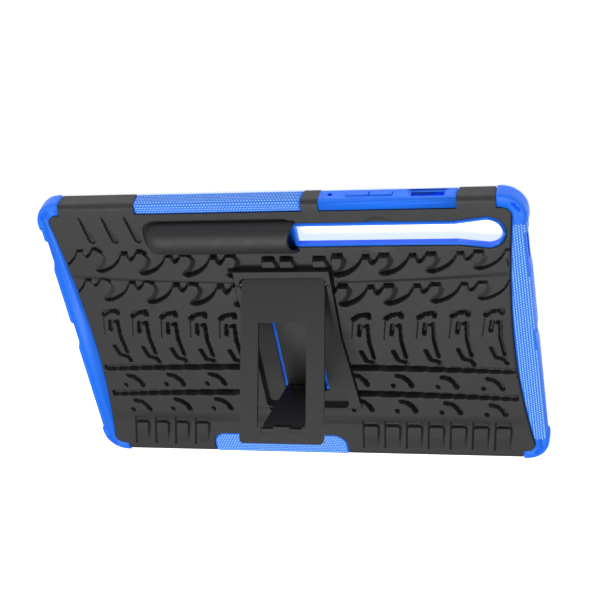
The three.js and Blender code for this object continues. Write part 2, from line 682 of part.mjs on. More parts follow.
// The strut is drawn flat, with its hinge axis on the X axis and its tip towards +Y, then raised.
function standStrut() {
  const half = STRUT_HALF_WIDTH - TRACK_WIDTH / 2 + 0.6;
  const thick = STRUT_THICKNESS / 2;
  const shoulderY = strutTip - FINGER_LENGTH;
  let body = block(-half, half, 0, shoulderY, -thick, thick);
  [-1, 1].forEach((side) => {
    const xs = [side * (NOTCH_INNER + RUNNING_GAP), side * (NOTCH_OUTER - RUNNING_GAP)].sort((a, b) => a - b);
    body = body.add(block(xs[0], xs[1], shoulderY - 1, strutTip, -thick, thick));
  });
  body = body.add(rodAlongX(-half, half, 0, 0, KNUCKLE_RADIUS));
  [-1, 1].forEach((side) => {
    const xs = [side * (LUG_START - RUNNING_GAP), side * (LUG_END + RUNNING_GAP)].sort((a, b) => a - b);
    const clear = KNUCKLE_RADIUS + RUNNING_GAP;
    body = body.subtract(block(xs[0], xs[1], -clear, clear, -clear - 1, clear + 1));
  });
  return body.subtract(rodAlongX(-half - 1, half + 1, 0, 0, PIN_BORE));
}

function keyCover(index) {
  const start = keyStart + KEY_PITCH * index;
  const half = KEY_HEIGHT / 2;
  return block(
    start, start + KEY_LENGTH, halfWidth - KEY_DEPTH, halfWidth + KEY_PROUD,
    keyLineZ - half, keyLineZ + half,
  );
}

// ---------------------------------------------------------------- assembly

const tabletCase = new THREE.Group();
tabletCase.add(mesh('inner_tray', innerTray(), softBlue));
tabletCase.add(mesh('outer_shell', outerShell(), hardGrey));

const openPlate = new THREE.Group();
openPlate.position.set(STAND_X, hingeY, hingeZ);
openPlate.rotation.x = -openAngle;
openPlate.add(mesh('stand_plate', standPlate(), hardGrey));
tabletCase.add(openPlate);

const raisedStrut = new THREE.Group();
raisedStrut.position.set(STAND_X, strutY, strutZ);
raisedStrut.rotation.x = strutAngle;
raisedStrut.add(mesh('stand_brace', standStrut(), hardGrey));
tabletCase.add(raisedStrut);

const pinEnd = RECESS_HALF_WIDTH + PIN_IN_WALL;
const standPin = rodAlongX(STAND_X - pinEnd, STAND_X + pinEnd, hingeY, hingeZ, PIN_RADIUS);
tabletCase.add(mesh('stand_hinge_pin', standPin, steel));
const strutPin = rodAlongX(STAND_X - LUG_END, STAND_X + LUG_END, strutY, strutZ, PIN_RADIUS);
tabletCase.add(mesh('brace_hinge_pin', strutPin, steel));

tabletCase.add(mesh('volume_up_key', keyCover(1), softBlue));
tabletCase.add(mesh('volume_down_key', keyCover(0), softBlue));

export default tabletCase;
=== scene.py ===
# %% [markdown]
# A rugged tablet case in two layers, built on its measured frame.
# The soft tray holds the tablet, and the hard shell over it has a tyre-tread back, a pen sleeve
# and a kickstand. The frame gives each moving body, so a piece only has to be made in place.
# Surfaces are worked out in millimetres and become metres when they turn into meshes.

import math

import bmesh
import bpy
import numpy as np
from mathutils import Matrix, Vector


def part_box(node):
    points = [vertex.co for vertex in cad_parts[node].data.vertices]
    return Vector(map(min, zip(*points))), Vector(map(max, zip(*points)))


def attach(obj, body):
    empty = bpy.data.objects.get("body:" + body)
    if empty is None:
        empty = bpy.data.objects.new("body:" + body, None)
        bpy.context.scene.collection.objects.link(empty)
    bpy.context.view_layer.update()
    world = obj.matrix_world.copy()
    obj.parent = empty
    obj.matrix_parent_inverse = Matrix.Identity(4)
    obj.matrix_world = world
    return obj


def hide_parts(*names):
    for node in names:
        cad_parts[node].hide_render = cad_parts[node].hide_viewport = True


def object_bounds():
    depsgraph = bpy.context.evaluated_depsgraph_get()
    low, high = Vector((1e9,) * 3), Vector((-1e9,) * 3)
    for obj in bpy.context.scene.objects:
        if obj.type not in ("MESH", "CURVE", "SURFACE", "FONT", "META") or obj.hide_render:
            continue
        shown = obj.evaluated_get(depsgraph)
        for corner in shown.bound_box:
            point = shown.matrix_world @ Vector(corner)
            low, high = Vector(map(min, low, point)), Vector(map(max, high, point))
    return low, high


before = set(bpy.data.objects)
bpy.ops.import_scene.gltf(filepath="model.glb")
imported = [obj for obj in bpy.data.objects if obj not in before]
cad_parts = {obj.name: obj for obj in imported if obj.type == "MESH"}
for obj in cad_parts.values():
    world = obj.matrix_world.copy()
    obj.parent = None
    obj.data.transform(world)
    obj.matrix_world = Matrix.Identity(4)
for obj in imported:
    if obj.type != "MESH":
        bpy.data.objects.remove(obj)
cad_low, cad_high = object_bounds()
print("frame", [round(1000 * (b - a), 1) for a, b in zip(cad_low, cad_high)], "mm")

# %% [markdown]
# Everything on the case is measured from the tray's box, whose bumpers stand out by one step.
# Heights are named once here, so the shell, its grooves and the tray agree. The pen sleeve's
# sizes are named here too, because the outline, the relief and the sleeve all use them.

# %% Sizes in millimetres
tray_high = 1000 * np.array(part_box("inner_tray")[1])

BUMPER_STEP = 1.0
HALF_LENGTH = tray_high[0] - BUMPER_STEP
HALF_WIDTH = tray_high[1] - BUMPER_STEP
SHELL_UNDER = 9.0
GROOVE_FLOOR = 10.5
DEEP_FLOOR = 9.6
GROUND = 11.4
TRAY_SHOULDER = 10.8
RECESS_FLOOR = 9.9
FRAME_TOP = 14.9
SHELL_EDGE_Y = HALF_WIDTH - 6.1
PEN_Y = HALF_WIDTH - 21.0
CAMERA_X = HALF_LENGTH - 19.8
STAND_X = 0.2
SLEEVE_END = 12.2
SLEEVE_RADIUS = 9.6
SLEEVE_BORE = 8.1
WALL_RAMP = 0.35
STEP = 0.4
FAR_OFF = 1000.0
print("half length", round(HALF_LENGTH, 2), "half width", round(HALF_WIDTH, 2))

# %% [markdown]
# A surface is a grid of points, and its faces join each point to its neighbours.
# One helper turns arrays of points and faces into a mesh, in metres, and shades it smoothly,
# with a sharp edge wherever two faces meet at more than a given angle.

# %% Mesh helpers


def make_piece(name, points, faces, body, material, slot, sharp=50, mask=None):
    """A mesh object from points in millimetres and faces as rows of indices, riding on a body.
    The mask is one number a point, kept on the mesh for its material to read: where painted shade or a
    painted highlight goes."""
    mesh = bpy.data.meshes.new(name)
    faces = np.asarray(faces, np.int32)
    corners = faces.shape[1]
    mesh.vertices.add(len(points))
    mesh.vertices.foreach_set("co", (np.asarray(points, float) / 1000).astype(np.float32).ravel())
    mesh.loops.add(faces.size)
    mesh.loops.foreach_set("vertex_index", faces.ravel())
    mesh.polygons.add(len(faces))
    mesh.polygons.foreach_set("loop_start", np.arange(0, faces.size, corners, dtype=np.int32))
    mesh.update(calc_edges=True)
    mesh.validate()
    mesh.polygons.foreach_set("use_smooth", np.ones(len(mesh.polygons), bool))
    mesh.set_sharp_from_angle(angle=math.radians(sharp))
    if mask is not None:
        mesh.attributes.new("mask", "FLOAT", "POINT").data.foreach_set("value", mask.astype(np.float32))
    return finish_piece(name, mesh, body, material)


def finish_piece(name, mesh, body, material):
    """Put a mesh in the scene with its material and on its body."""
    piece = bpy.data.objects.new(name, mesh)
    bpy.context.scene.collection.objects.link(piece)
    mesh.materials.clear()
    mesh.materials.append(material)
    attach(piece, body)
    print(name, len(mesh.vertices), "points", len(mesh.polygons), "faces")
    return piece


def grid_faces(rows, columns, around=False):
    """Quads of a grid of rows x columns points; around joins the last column to the first."""
    index = np.arange(rows * columns).reshape(rows, columns)
    if around:
        index = np.hstack([index, index[:, :1]])
    lower, upper = index[:-1], index[1:]
    return np.stack([lower[:, :-1], lower[:, 1:], upper[:, 1:], upper[:, :-1]], -1).reshape(-1, 4)


def smooth_step(start, end, value):
    """0 before start, 1 after end, and an S-shaped ramp between them."""
    share = np.clip((value - start) / (end - start), 0, 1)
    return share * share * (3 - 2 * share)


def to_rounded_box(x, y, low_x, high_x, low_y, high_y, radius):
    """Distance to a rounded rectangle, negative inside: the length of what sticks out of its core."""
    across = np.abs(x - (low_x + high_x) / 2) - (high_x - low_x) / 2 + radius
    along = np.abs(y - (low_y + high_y) / 2) - (high_y - low_y) / 2 + radius
    outside = np.hypot(np.maximum(across, 0), np.maximum(along, 0))
    return outside + np.minimum(np.maximum(across, along), 0) - radius


def to_stroke(x, y, stroke):
    """Distance to a bent line through the given points: the least of its straight parts."""
    nearest = np.full(x.shape, FAR_OFF)
    for (x0, y0), (x1, y1) in zip(stroke[:-1], stroke[1:]):
        dx, dy = x1 - x0, y1 - y0
        share = np.clip(((x - x0) * dx + (y - y0) * dy) / (dx * dx + dy * dy), 0, 1)
        nearest = np.minimum(nearest, np.hypot(x - x0 - share * dx, y - y0 - share * dy))
    return nearest


def to_outline(x, y, outline):
    """Distance to a closed outline, negative inside: the nearest side, with its sign from how many
    sides lie to the right of the point, an odd number meaning inside."""
    nearest = to_stroke(x, y, outline + outline[:1])
    crossed = np.zeros(x.shape, int)
    for (x0, y0), (x1, y1) in zip(outline, outline[1:] + outline[:1]):
        if y0 != y1:
            crossed += ((y0 > y) != (y1 > y)) & (x < x0 + (y - y0) * (x1 - x0) / (y1 - y0))
    return np.where(crossed % 2 == 1, -nearest, nearest)


# %% [markdown]
# The finishes are moulded plastics. A hard polycarbonate has a fine spark-eroded grain that
# scatters light, and a soft TPU is smoother, with a slightly lower index of refraction.
# Colours are given as screen values and go through one conversion to linear light.

# %% Material helpers


def colour(code):
    """Opaque linear RGBA from a hex colour, by the sRGB curve."""
    values = [int(code[i:i + 2], 16) / 255 for i in (0, 2, 4)]
    return [v / 12.92 if v <= 0.04045 else ((v + 0.055) / 1.055) ** 2.4 for v in values] + [1.0]


def add_node(tree, kind, **inputs):
    """A node of this kind, with its inputs set from values or linked from other nodes' outputs."""
    node = tree.nodes.new(kind)
    for name, value in inputs.items():
        if isinstance(value, bpy.types.NodeSocket):
            tree.links.new(value, node.inputs[name])
        else:
            node.inputs[name].default_value = value
    return node


def moulded_plastic(name, dark, light, roughness, grain_mm, grain_depth, ior=1.5, painted_light_colour=None):
    """A moulded plastic: slow colour drift, fine grain in the bump and wear in the roughness.
    Where the mesh's mask is 1 the colour is the painted one instead: painted shade on the shell, a painted
    highlight on the grips."""
    material = bpy.data.materials.new(name)
    material.use_nodes = True
    tree = material.node_tree
    shader = tree.nodes["Principled BSDF"]
    place = add_node(tree, "ShaderNodeTexCoord").outputs["Object"]
    drift = add_node(tree, "ShaderNodeTexNoise", Vector=place, Scale=45.0, Detail=3.0)
    grain = add_node(tree, "ShaderNodeTexNoise", Vector=place, Scale=1000 / grain_mm, Detail=2.0)
    handling = add_node(tree, "ShaderNodeTexNoise", Vector=place, Scale=160.0, Detail=4.0,
                        Roughness=0.7)
    blend = add_node(tree, "ShaderNodeMix")
    blend.data_type = "RGBA"
    tree.links.new(drift.outputs["Fac"], blend.inputs[0])
    blend.inputs[6].default_value = colour(dark)
    blend.inputs[7].default_value = colour(light)
    tint = blend.outputs[2]
    if painted_light_colour:
        mask = add_node(tree, "ShaderNodeAttribute")
        mask.attribute_name = "mask"
        chosen = add_node(tree, "ShaderNodeMix")
        chosen.data_type = "RGBA"
        tree.links.new(mask.outputs["Fac"], chosen.inputs[0])
        tree.links.new(tint, chosen.inputs[6])
        chosen.inputs[7].default_value = colour(painted_light_colour)
        tint = chosen.outputs[2]
    tree.links.new(tint, shader.inputs["Base Color"])
    gloss = add_node(tree, "ShaderNodeMapRange", Value=handling.outputs["Fac"])
    gloss.inputs["From Min"].default_value = 0.3
    gloss.inputs["From Max"].default_value = 0.7
    gloss.inputs["To Min"].default_value = roughness - 0.05
    gloss.inputs["To Max"].default_value = roughness + 0.05
    tree.links.new(gloss.outputs["Result"], shader.inputs["Roughness"])
    bump = add_node(tree, "ShaderNodeBump", Height=grain.outputs["Fac"], Strength=0.6,
                    Distance=grain_depth / 1000)
    tree.links.new(bump.outputs["Normal"], shader.inputs["Normal"])
    shader.inputs["IOR"].default_value = ior
    return material


# %% [markdown]
# Five finishes cover the plastics. The shell, its sleeve and the stand are the same dark grey
# resin. The walls and floors of the shell's grooves are painted almost black, a painted shade
# that the mesh's mask lays on. The sleeve has a finer finish, and its colours are darker: painted
# shade over the whole sleeve. The tray is a bright blue, and its grips' cushion tops are painted
# paler, a painted highlight.

# %% Materials
# The shell's second colour, near black, is painted shade for its grooves, walls and moats.
shell_plastic = moulded_plastic("hard_polycarbonate", "212122", "262627", 0.62, 0.35, 0.02, 1.58,
                                painted_light_colour="08080a")
# The sleeve's darker colours are painted shade: the same resin as the shell, given a shaded copy.
sleeve_shaded_plastic = moulded_plastic("sleeve_polycarbonate", "171718", "1c1c1d", 0.6, 0.3, 0.01, 1.58)
stand_plastic = moulded_plastic("stand_polycarbonate", "232324", "29292a", 0.6, 0.3, 0.02, 1.58)
soft_blue = moulded_plastic("soft_tpu", "0f70f8", "1a78fc", 0.55, 0.5, 0.01, 1.45)
# The grip's pale second colour is a painted highlight on the cushion tops.
grip_blue = moulded_plastic("textured_tpu", "1268ea", "1c72f2", 0.55, 0.5, 0.01, 1.45,
                            painted_light_colour="a8e4ff")
print("materials", [m.name for m in bpy.data.materials])


# %% [markdown]
# The pins are drawn steel rod: metal with fine lines along it, brighter than the plastic.
# The lines of real drawing are finer than this, and are drawn as coarse as they need to show.

# %% Steel


def drawn_steel(name):
    """Metal whose roughness follows a noise stretched along the rod, as drawing leaves it."""
    material = bpy.data.materials.new(name)
    material.use_nodes = True
    tree = material.node_tree
    shader = tree.nodes["Principled BSDF"]
    place = add_node(tree, "ShaderNodeTexCoord").outputs["Object"]
    stretched = add_node(tree, "ShaderNodeMapping", Vector=place, Scale=(200.0, 6000.0, 6000.0))
    lines = add_node(tree, "ShaderNodeTexNoise", Vector=stretched.outputs["Vector"], Scale=1.0,
                     Detail=2.0)
    blend = add_node(tree, "ShaderNodeMix")
    blend.data_type = "RGBA"
    tree.links.new(lines.outputs["Fac"], blend.inputs[0])
    blend.inputs[6].default_value = colour("8d8e90")
    blend.inputs[7].default_value = colour("b4b5b8")
    tree.links.new(blend.outputs[2], shader.inputs["Base Color"])
    gloss = add_node(tree, "ShaderNodeMapRange", Value=lines.outputs["Fac"])
    gloss.inputs["To Min"].default_value = 0.22
    gloss.inputs["To Max"].default_value = 0.42
    tree.links.new(gloss.outputs["Result"], shader.inputs["Roughness"])
    bump = add_node(tree, "ShaderNodeBump", Height=lines.outputs["Fac"], Strength=0.3,
                    Distance=0.00001)
    tree.links.new(bump.outputs["Normal"], shader.inputs["Normal"])
    shader.inputs["Metallic"].default_value = 1.0
    return material


pin_steel = drawn_steel("drawn_steel")


# %% [markdown]
# Pieces that the frame already has in the right shape are copied with their points merged,
# so their faces share corners, and long flat faces become one. A small bevel then gives each
# edge the soft glint of a moulded part.

# %% Copies of frame nodes


def smooth_copy(name, node, body, material, bevel=0.0, sharp=32):
    """A merged copy of a frame node, shaded smooth up to a sharp angle, with an optional bevel."""
    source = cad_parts[node]
    mesh = source.data.copy()
    bm = bmesh.new()
    bm.from_mesh(mesh)
    bmesh.ops.remove_doubles(bm, verts=bm.verts, dist=2e-6)
    if bevel:
        bmesh.ops.dissolve_limit(bm, angle_limit=math.radians(1), verts=bm.verts, edges=bm.edges)
    bm.to_mesh(mesh)
    bm.free()
    mesh.polygons.foreach_set("use_smooth", np.ones(len(mesh.polygons), bool))
    mesh.set_sharp_from_angle(angle=math.radians(sharp))
    piece = finish_piece(name, mesh, body, material)
    if bevel:
        rounding = piece.modifiers.new("edge", "BEVEL")
        rounding.width = bevel / 1000
        rounding.segments = 2
        rounding.limit_method = "ANGLE"
        rounding.angle_limit = math.radians(40)
        rounding.harden_normals = False
    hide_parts(node)


smooth_copy("tray_body", "inner_tray", "tray", soft_blue)
smooth_copy("kickstand_plate", "stand_plate", "stand", stand_plastic, 0.25)
smooth_copy("kickstand_strut", "stand_brace", "brace", stand_plastic, 0.2)
for key in ("volume_up", "volume_down"):
    smooth_copy(key + "_cover", key + "_key", key, soft_blue, 0.3)
for pin in ("stand_hinge_pin", "brace_hinge_pin"):
    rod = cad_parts[pin]
    rod.data.materials.clear()
    rod.data.materials.append(pin_steel)

# %% [markdown]
# The shell's back is a relief: one height over each point of a flat outline.
# Its outline has a waist at both ends, and holes for the pen slot, the strut's tracks and the
# soft grip. Each hole and edge is a distance, so a grid point near an edge can slide onto it,
# which keeps the edge smooth however the grid falls.

# %% Outline of the shell


def waist(y):
    """Half the shell's length: narrow near the middle, flaring by a power of the height."""
    centre = -8.0
    span = np.where(y > centre, SHELL_EDGE_Y - centre, SHELL_EDGE_Y + centre)
    share = np.minimum(np.abs(y - centre) / span, 1)
    return HALF_LENGTH - 12.3 + 6.4 * share ** 1.9


def slot_gap(x, y):
    """Distance to the pen slot and its wide camera end, negative inside them."""
    half, round_end, flare = 7.3, 9.4, 15.6
    across = np.abs(y - PEN_Y)
    straight = to_rounded_box(x, y, SLEEVE_END - 2, CAMERA_X, PEN_Y - half, PEN_Y + half, 0.1)
    circle = np.hypot(x - CAMERA_X, across) - round_end
    reach = math.hypot(flare, half)
    turn = math.atan2(half, -flare) - math.acos(round_end / reach)
    taper = math.cos(turn) * (x - CAMERA_X) + math.sin(turn) * across - round_end
    wedge = np.maximum(np.maximum(taper, CAMERA_X - flare - x), x - CAMERA_X)
    return np.minimum(np.minimum(straight, circle), wedge)


def shell_region(x, y):
    """Distance to the nearest edge of the shell's back, positive on the plastic."""
    end = waist(y) - np.abs(x)
    edge = SHELL_EDGE_Y - np.abs(y)
    corner = 6.0
    rounded = corner - np.hypot(np.maximum(corner - end, 0), np.maximum(corner - edge, 0))
    outline = np.where((end > corner) & (edge > corner), np.minimum(end, edge), rounded)
    grip = to_rounded_box(x, y, -62.7, 17.6, -HALF_WIDTH - 16, -HALF_WIDTH + 15, 8.0)
    bore = to_rounded_box(x, y, -69.5, SLEEVE_END, PEN_Y - SLEEVE_BORE, PEN_Y + SLEEVE_BORE, 4.0)
    tracks = [to_rounded_box(x, y, STAND_X + side * 11.7 - 1, STAND_X + side * 11.7 + 1,
                             -40.0, 22.0, 0.9) for side in (-1, 1)]
    return np.minimum.reduce([outline, grip, bore, slot_gap(x, y), *tracks])


print("waist", round(float(waist(np.array(-8.0))), 2), "corner", round(float(waist(np.array(75.0))), 2))

# %% [markdown]
# The tread is drawn flat and laid over a crown that arches along the case, which bows its rows.
# To lay it, each point of the crown is carried down to the flat drawing along a line from one
# far point. The rows of swells repeat one closed outline round the low ground beside a swell.
# The rows of brackets and slanted slots repeat bent strokes, and a stroke's distance gives its
# groove.

# %% Tread drawing
FAR_POINT = np.array([229.0, 507.0, 637.0])
CROWN_REACH = 119.0

SWELL = [(-0.9, 0.3), (0.0, -1.2), (1.6, -1.8), (4.2, -1.5), (7.8, 0.0), (10.9, 2.0), (13.8, 4.9),
         (15.8, 8.0), (16.5, 9.7), (20.0, 9.7), (20.0, 7.0), (21.1, 5.8), (22.6, 6.4), (24.7, 9.1),
         (25.5, 10.7), (30.5, 10.7), (33.5, 13.0), (33.5, 32.0), (3.0, 32.0), (3.0, 13.0), (5.5, 10.7),
         (5.9, 9.6), (4.4, 6.0), (2.4, 3.3), (0.2, 2.2)]
SWELL_ROWS = (40.2, 20.7)
SWELL_BOW = 4.2e-4
CHANNEL = 14.9
CAP = [(0.4, 0.0), (3.3, 2.4), (9.0, 3.3), (8.9, 1.2)]
HOOK = [(5.9, -5.0), (7.6, -4.2), (6.7, -15.5), (7.9, -26.5)]
DASH = [(3.3, -4.4), (1.9, -10.8)]
FOOT = [(1.4, -22.4), (3.3, -28.7), (7.6, -30.0), (8.7, -32.8)]
FLANK = [(0.0, -0.5), (-2.6, -14.0)]
SLOT = [(0, 0), (3.4, -0.9), (6.2, -3.9), (7.2, -6.9)]
SLOT_DOT = [(-3.2, -6.6), (-3.0, -7.4)]
RIGHT_SLITS = [[(119.5, 49.4), (119.9, 45.0)], [(119.8, 29.6), (120.2, 25.6)],
               [(118.2, -27.2), (119.2, -33.4)], [(120.1, -46.2), (121.4, -52.6)]]


def crown_height(x):
    """Height of the tread over the groove floor: a parabola across the case's length."""
    share = np.minimum(np.abs(x) / CROWN_REACH, 1)
    return 1.4 + 2.7 * (1 - share * share)


def on_drawing(x, y):
    """Where a point of the crown falls on the flat drawing, along a line from the far point."""
    rise = crown_height(x) / FAR_POINT[2]
    return x - (FAR_POINT[0] - x) * rise, y - (FAR_POINT[1] - y) * rise


def repeated(x, y, strokes, first, pitch, count, row, bow):
    """Distance to strokes repeated count times along a bowed row; each stroke has its half width."""
    nearest = np.full(x.shape, FAR_OFF)
    for number in range(count):
        start = first + pitch * number
        lift = row + bow * start * start
        close = (x > start - 6) & (x < start + 38)
        local_x, local_y = x[close] - start, y[close] - lift
        found = [to_stroke(local_x, local_y, stroke) - half for stroke, half in strokes]
        nearest[close] = np.minimum(nearest[close], np.minimum.reduce(found))
    return nearest


def swells(u, v, first, pitch, row):
    """Distance to the low ground over a bowed row of five swells, negative on the low ground."""
    found = row + SWELL_BOW * u * u + 20 - v
    for number in range(5):
        start = first + pitch * number
        lift = row + SWELL_BOW * start * start
        close = (np.abs(u - start - 15) < 22) & (np.abs(v - lift - 14) < 20)
        outline = to_outline(u[close] - start, v[close] - lift, SWELL)
        found[close] = np.minimum(found[close], outline)
    return found


def tread_grooves(u, v):
    """Distance to the nearest groove of the tread on the flat drawing, negative in a groove."""
    found = []
    for side in (-1, 1):
        here = u < -18 if side < 0 else u > 18
        bracket = [(CAP, 1.15), (HOOK, 0.8), (DASH, 0.9), (FOOT, 1.0), (FLANK, -0.1)]
        first, pitch = (-109.2, 16.95) if side < 0 else (33.6, 17.85)
        group = [repeated(u, v, bracket, first, pitch, 5, 10.3, 3.0e-4)]
        slot = [(SLOT, 1.25), (SLOT_DOT, 0.9)]
        first = -104.8 if side < 0 else 27.8
        for row, bow in ((-28.0, -2.0e-4), (-46.4, -2.3e-4)):
            group.append(repeated(u, v, slot, first, 24.9, 4, row, bow))
        found.append(np.where(here, np.minimum.reduce(group), FAR_OFF))
    for middle, bow in ((-22.7, -1.2e-4), (-41.2, -1.6e-4)):
        long_groove = np.abs(v - middle - bow * u * u) - 1.85
        found.append(np.maximum(long_groove, np.abs(u) - 117.5))
    found += [to_stroke(u, v, slit) for slit in RIGHT_SLITS]
    return np.minimum.reduce(found)


def low_ground(u, v):
    """Distance to the low ground of both rows of swells, negative on it. The upper row's ground
    runs on over the kickstand's frame, and the lower row's is a channel with an even top."""
    left = [swells(u, v, -130.1, 24.9, row) for row in SWELL_ROWS]
    right = [swells(u, v, 2.8, 25.0, row) for row in SWELL_ROWS]
    between = np.maximum(-24.8 - u, np.maximum(u - 27.0, 30.0 - v))
    upper = np.minimum(np.where(u < 0, left[0], np.where(u > 24, right[0], FAR_OFF)), between)
    lower = np.where(u < -18, left[1], np.where(u > 18, right[1], FAR_OFF))
    channel_top = SWELL_ROWS[1] + CHANNEL + SWELL_BOW * u * u
    return np.minimum(upper, np.maximum(lower, v - channel_top))


def pads(u, v):
    """Distance to the small rounded blocks over the kickstand's frame, negative on them."""
    blocks = [to_rounded_box(u, v, left, left + 7.4, 42.0, 49.4, 1.8) for left in (-11.0, -1.0, 16.9)]
    return np.minimum.reduce(blocks)


# %% [markdown]
# Bars run to the lower long edge like the shoulder blocks of a tyre, each with a sunken end wall
# and thin sunken sides, both darkened by painted shade. Three slashes cut the upper left corner. A
# swell's upper side is a steep wall with painted shade on the low ground at its foot, and the ground
# climbs to the next swell by a short slope. The kickstand's frame stands a little over the crown
# and holds the recess.

# %% Height of the shell's back
FOOT_OF_WALL = 1.2
SOFT_SIDE = 2.6
BAR_END = 4.0
BAR_TOP_Y = -63.6
TREAD_LOW, TREAD_HIGH = -60, 62
FRAME_FOOT, FRAME_HEAD = 49.3, 45.9
EDGE_ROUND = 0.9


def bars(x, y, first, pitch, count, width, lean):
    """Distance to a row of leaning bars at the lower edge, negative on a bar."""
    shifted = x + lean * (-64.0 - y) - first
    number = np.clip(np.round((shifted - width / 2) / pitch), 0, count - 1)
    return to_rounded_box(shifted - number * pitch, y, 0, width, -110.0, BAR_TOP_Y, 1.6)


def slashes(x, y):
    """Distance to three tapered cuts at the upper left corner, widest at their lower ends."""
    found = []
    for number in range(3):
        start = (-106.2 + 12.9 * number, 79.5)
        end = (-102.4 + 13.2 * number, 64.6)
        share = np.clip((start[1] - y) / (start[1] - end[1]), 0, 1)
        line = start[0] + (end[0] - start[0]) * share ** 1.2
        beyond = np.maximum(np.maximum(y - start[1], end[1] - y), 0)
        found.append(np.hypot(x - line, beyond) - 0.1 - 1.6 * share)
    return np.minimum.reduce(found)


def frame_gap(x, y):
    """Distance to the kickstand's frame, whose sides flare towards its foot, negative on it."""
    flare = 4.2 * np.maximum(-y, 0) / FRAME_FOOT
    sides = np.abs(x - STAND_X) - (26.6 + flare)
    return np.maximum(sides, np.maximum(y - FRAME_HEAD, -FRAME_FOOT - y))


def tread_block(u, v):
    """Distance into the raised tread: positive on a swell or a pad, negative on the low ground."""
    return np.maximum(low_ground(u, v), -pads(u, v))


def lower_bars(x, y):
    """Distance to the nearest bar of both groups at the lower edge, negative on a bar."""
    return np.minimum(bars(x, y, -107.4, 12.35, 4, 7.6, 0.22), bars(x, y, 29.2, 12.45, 7, 8.4, 0.13))


def wall(distance, ramp=WALL_RAMP):
    """1 inside an outline and 0 outside it, by a steep ramp over its edge."""
    return smooth_step(ramp, -ramp, distance)


def shell_surface(x, y):
    """Height of the shell's back over each point, and a painted shade from 0 to 1 that darkens its grooves,
    walls, moats and the line round the sleeve.
    """
    u, v = on_drawing(x, y)
    crown = GROOVE_FLOOR + crown_height(x)
    block = tread_block(u, v)
    steps = np.linspace(0, SOFT_SIDE, 9)[1:]
    slope = np.mean([smooth_step(-0.5, 0.5, tread_block(u - 0.6 * d, v + d)) for d in steps], axis=0)
    raised = np.maximum(wall(-block), slope) * smooth_step(-64, -54, y)
    foot = smooth_step(-0.1, 0.5, tread_block(u, v - FOOT_OF_WALL)) * (y > 15)
    height = GROUND + (crown - GROUND) * raised - (GROUND - DEEP_FLOOR) * foot * (1 - raised)

    lower = lower_bars(x, y)
    past_end = wall(lower_bars(x, y - BAR_END))
    side_line = smooth_step(0.9, 0.3, lower) * (lower > -0.2) * smooth_step(-78, -66, y)
    bar_top = 12.7 - 1.1 * smooth_step(-70, -81, y)
    height += (bar_top - height) * wall(lower)
    height -= np.maximum(height - GROOVE_FLOOR, 0) * np.maximum(past_end * wall(-lower), 0.6 * side_line)

    cut = smooth_step(0.4, -0.3, tread_grooves(u, v)) * (y < TREAD_HIGH) * (y > TREAD_LOW)
    cut = np.maximum(cut, smooth_step(0.4, -0.3, slashes(x, y)))
    height -= (height - DEEP_FLOOR) * cut
    # Painted shade: groove floors and the low ground at a swell's foot are darkened in colour, and so are
    # the bars' end walls and sides.
    dark = np.maximum(cut, foot * smooth_step(0.35, 0.15, block))
    painted_end_shade = past_end * smooth_step(-0.5, -0.35, lower)
    dark = np.maximum(dark, np.maximum(painted_end_shade, 0.7 * side_line))

    gap = frame_gap(x, y)
    moat = np.maximum(smooth_step(2.4, 0.3, gap) * (y > FRAME_HEAD - 0.7),
                      smooth_step(0.7, 0.3, gap) * (x > 0))
    moat *= smooth_step(-49, -40, y)
    height -= np.maximum(height - GROOVE_FLOOR, 0) * moat
    # Painted shade in the moat round the kickstand's frame.
    dark = np.maximum(dark, 0.8 * moat)
    height += (FRAME_TOP - height) * wall(gap, 0.25)
    dark *= gap > -0.2
    for side in (-1, 1):
        pit = np.hypot(x - STAND_X - side * 24.7, y - 36.4) - 0.7
        height -= 1.0 * smooth_step(0.3, -0.2, pit)
    recess = to_rounded_box(x, y, STAND_X - 23.5, STAND_X + 23.5, -48.1, 41.1, 3.0)
    height += (RECESS_FLOOR - height) * smooth_step(0.2, -0.3, recess)

    dish = np.hypot(x - 55.8, y - PEN_Y) / 11.0
    height -= 0.6 * np.sqrt(np.maximum(1 - dish ** 2, 0)) * (dish < 1)
    sleeve = to_rounded_box(x, y, -71.2, SLEEVE_END, PEN_Y - SLEEVE_RADIUS, PEN_Y + SLEEVE_RADIUS, 7.0)
    round_sleeve = smooth_step(1.1, 0.4, sleeve) * (sleeve > -0.3)
    height -= 0.9 * round_sleeve
    # Painted shade along the sunken line round the sleeve's foot.
    dark = np.maximum(dark, round_sleeve)
    edge = EDGE_ROUND - np.clip(shell_outer_edge(x, y), 0, EDGE_ROUND)
    return height - (EDGE_ROUND - np.sqrt(EDGE_ROUND ** 2 - edge ** 2)), dark


def shell_outer_edge(x, y):
    """Distance in from the waist and from the pen slot, where the shell's corner is rounded."""
    return np.minimum(waist(y) - np.abs(x), np.maximum(slot_gap(x, y), 9 * (x < 12)))


# %% [markdown]
# The relief becomes a closed wall as well as a top: wherever the grid ends, at the outline or
# round a hole, a strip goes straight down to the shell's underside. The back is made in
# three stretches side by side, which keeps each mesh light.

# %% Shell back


